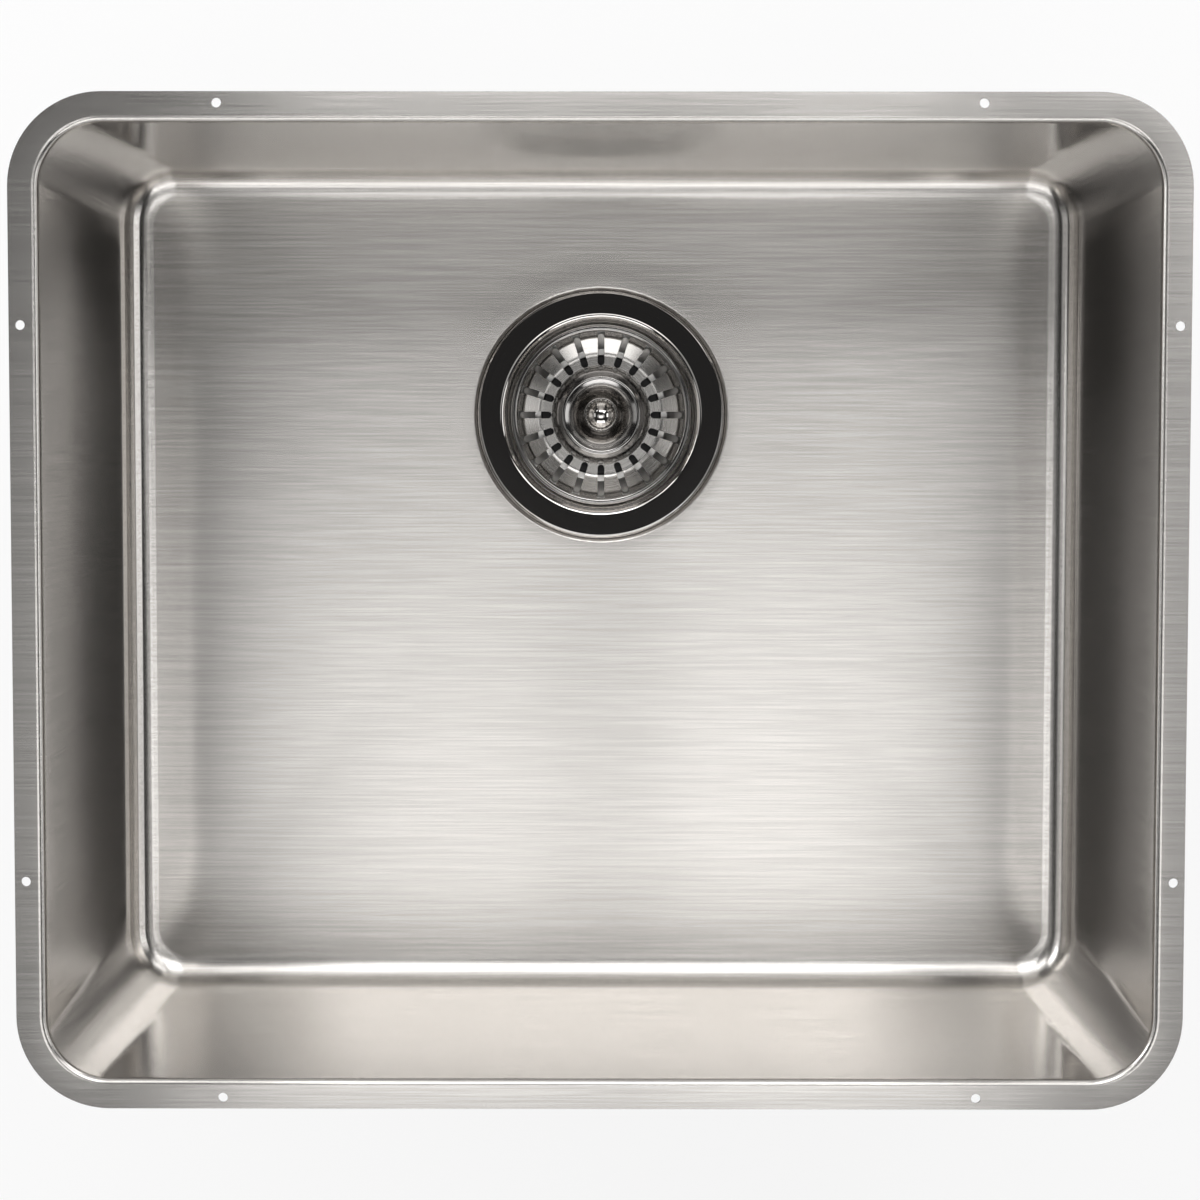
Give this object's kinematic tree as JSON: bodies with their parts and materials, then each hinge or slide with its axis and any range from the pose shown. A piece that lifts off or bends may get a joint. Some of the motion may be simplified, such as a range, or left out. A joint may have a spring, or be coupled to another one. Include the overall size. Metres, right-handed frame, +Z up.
{
  "type": "undermount kitchen sink",
  "caption": "Stainless undermount kitchen sink with rounded corners, a lift-out basket strainer towards the rear and a moulded waste body below.",
  "frame": {"origin": "centre of the bowl opening on the plane of the rim's top face, which is also the centre of both fixing-hole patterns", "axes": "+X to the right, +Y to the rear (the drain side), +Z up out of the bowl"},
  "size_m": [0.464, 0.402, 0.2966],
  "materials": {
    "bowl_steel": "fine straight brushing, satin",
    "strainer_steel": "dark polished with fine concentric lines",
    "basket_steel": "bright polished pressed steel",
    "knob_steel": "mirror polished",
    "hardware_steel": "plain turned steel",
    "ring_plastic": "natural acetal, slightly glossy",
    "body_plastic": "moulded black, fine satin grain",
    "insert_brass": "machined",
    "seal_rubber": "matte black rubber",
    "pad_rubber": "dense damping rubber, matte, slightly mottled"
  },
  "bodies": {
    "sink": {"bowl": "bowl_steel", "floor_pad_left": "pad_rubber", "floor_pad_right": "pad_rubber", "floor_pad_front": "pad_rubber", "wall_pad_left": "pad_rubber", "wall_pad_right": "pad_rubber", "wall_pad_front": "pad_rubber", "wall_pad_rear": "pad_rubber", "strainer_cup": "strainer_steel", "flange_seal": "seal_rubber", "body_gasket": "seal_rubber", "waste_body": "body_plastic", "outlet_spigot": "body_plastic", "screw_boss": "body_plastic", "screw_insert": "insert_brass", "clamp_screw": "hardware_steel"},
    "catch": {"catch_ring": "ring_plastic"},
    "basket": {"basket_shell": "basket_steel", "knob": "knob_steel", "collar_washer": "hardware_steel", "stem": "hardware_steel", "spacer_sleeve": "ring_plastic", "seal_top_plate": "hardware_steel", "seal_disc": "seal_rubber", "seal_bottom_washer": "hardware_steel", "stem_nut": "hardware_steel"}
  },
  "joints": [
    {"name": "basket_lift", "type": "slide", "parent": "sink", "child": "catch", "axis": [0, 0, 1], "range_m": [0, 0.26]},
    {"name": "basket_turn", "type": "hinge", "parent": "catch", "child": "basket", "pos_m": [0, 0.077, -0.235], "axis": [0, 0, 1], "continuous": true}
  ]
}
